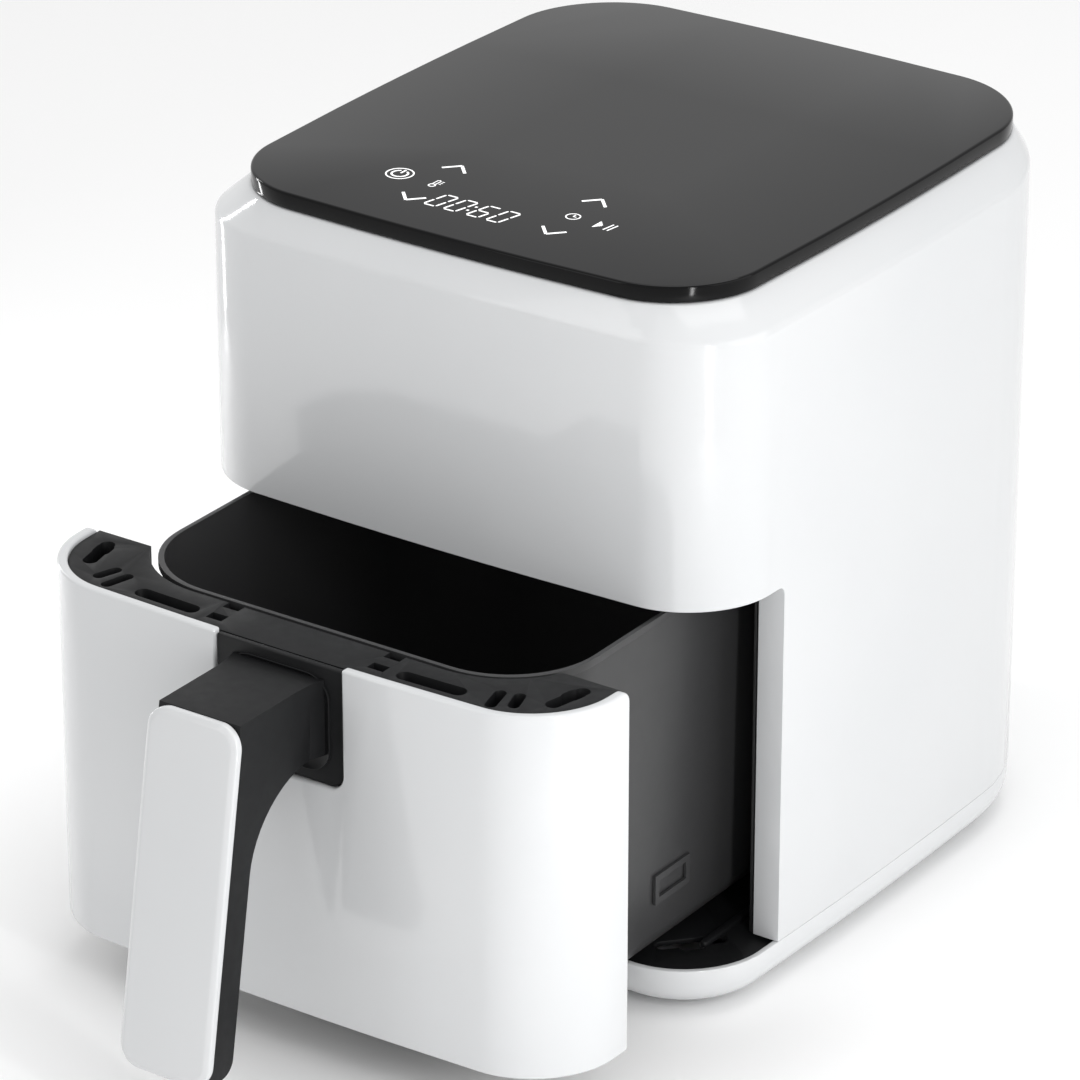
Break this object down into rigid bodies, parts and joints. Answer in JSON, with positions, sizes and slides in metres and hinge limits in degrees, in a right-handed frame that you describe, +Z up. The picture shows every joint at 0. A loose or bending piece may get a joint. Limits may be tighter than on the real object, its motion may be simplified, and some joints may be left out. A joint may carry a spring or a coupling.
{
  "type": "air fryer",
  "caption": "Compact square air fryer with a glass touch top and a pull-out drawer that holds a non-stick pan and a lift-out crisper plate.",
  "frame": {"origin": "on the worktop, under the middle of the whole object with the drawer as far out as at rest", "axes": "+X to the right as seen from the front, +Y from the handle towards the back of the housing, +Z up"},
  "size_m": [0.2458, 0.4476, 0.29],
  "materials": {
    "white_plastic": "high gloss moulded",
    "black_plastic": "fine satin texture",
    "coated_steel": "non-stick coating, satin",
    "black_glass": "polished, printed black behind",
    "steel": "plain",
    "aluminium": "pressed",
    "rubber": "matte",
    "silicone": "smooth",
    "circuit_board": "lacquered"
  },
  "bodies": {
    "housing": {"outer_shell": "white_plastic", "front_lintel": "white_plastic", "base_tray": "white_plastic", "floor_plate": "black_plastic", "cavity_liner": "coated_steel", "drawer_clip_left": "steel", "drawer_clip_right": "steel", "heater_dome": "steel", "heating_element": "steel", "element_guard": "steel", "fan_motor": "steel", "motor_bracket": "steel", "thermal_fuse": "circuit_board", "thermostat": "circuit_board", "glass_top": "black_glass", "glass_carrier": "black_plastic", "display_board": "circuit_board", "power_board": "circuit_board", "reed_sensor": "circuit_board", "rear_vent": "black_plastic", "cord_gland": "rubber", "foot_front_left": "rubber", "foot_front_right": "rubber", "foot_back_left": "rubber", "foot_back_right": "rubber", "base_screw_front_left": "steel", "base_screw_front_right": "steel", "base_screw_back_left": "steel", "base_screw_back_right": "steel"},
    "fan_rotor": {"motor_shaft": "steel", "hot_air_fan": "aluminium", "cooling_fan": "black_plastic", "fan_nut": "steel"},
    "drawer": {"drawer_panel": "white_plastic", "drawer_frame": "black_plastic", "pan": "coated_steel", "pan_catch_left": "steel", "pan_catch_right": "steel", "drawer_magnet": "steel", "handle_bracket": "black_plastic", "handle_grip": "black_plastic", "handle_cover": "white_plastic", "handle_screw_left": "steel", "handle_screw_right": "steel"},
    "crisper": {"crisper_plate": "coated_steel", "plate_foot_front_left": "silicone", "plate_foot_front_right": "silicone", "plate_foot_back_left": "silicone", "plate_foot_back_right": "silicone"}
  },
  "joints": [
    {"name": "drawer_slide", "type": "slide", "parent": "housing", "child": "drawer", "axis": [0, -1, 0], "range_m": [-0.099, 0.105]},
    {"name": "fan_spin", "type": "hinge", "parent": "housing", "child": "fan_rotor", "pos_m": [0, 0.0924, 0.2], "axis": [0, 0, 1], "continuous": true},
    {"name": "crisper_lift", "type": "slide", "parent": "drawer", "child": "crisper", "axis": [0, 0, 1], "range_m": [0, 0.08]}
  ]
}
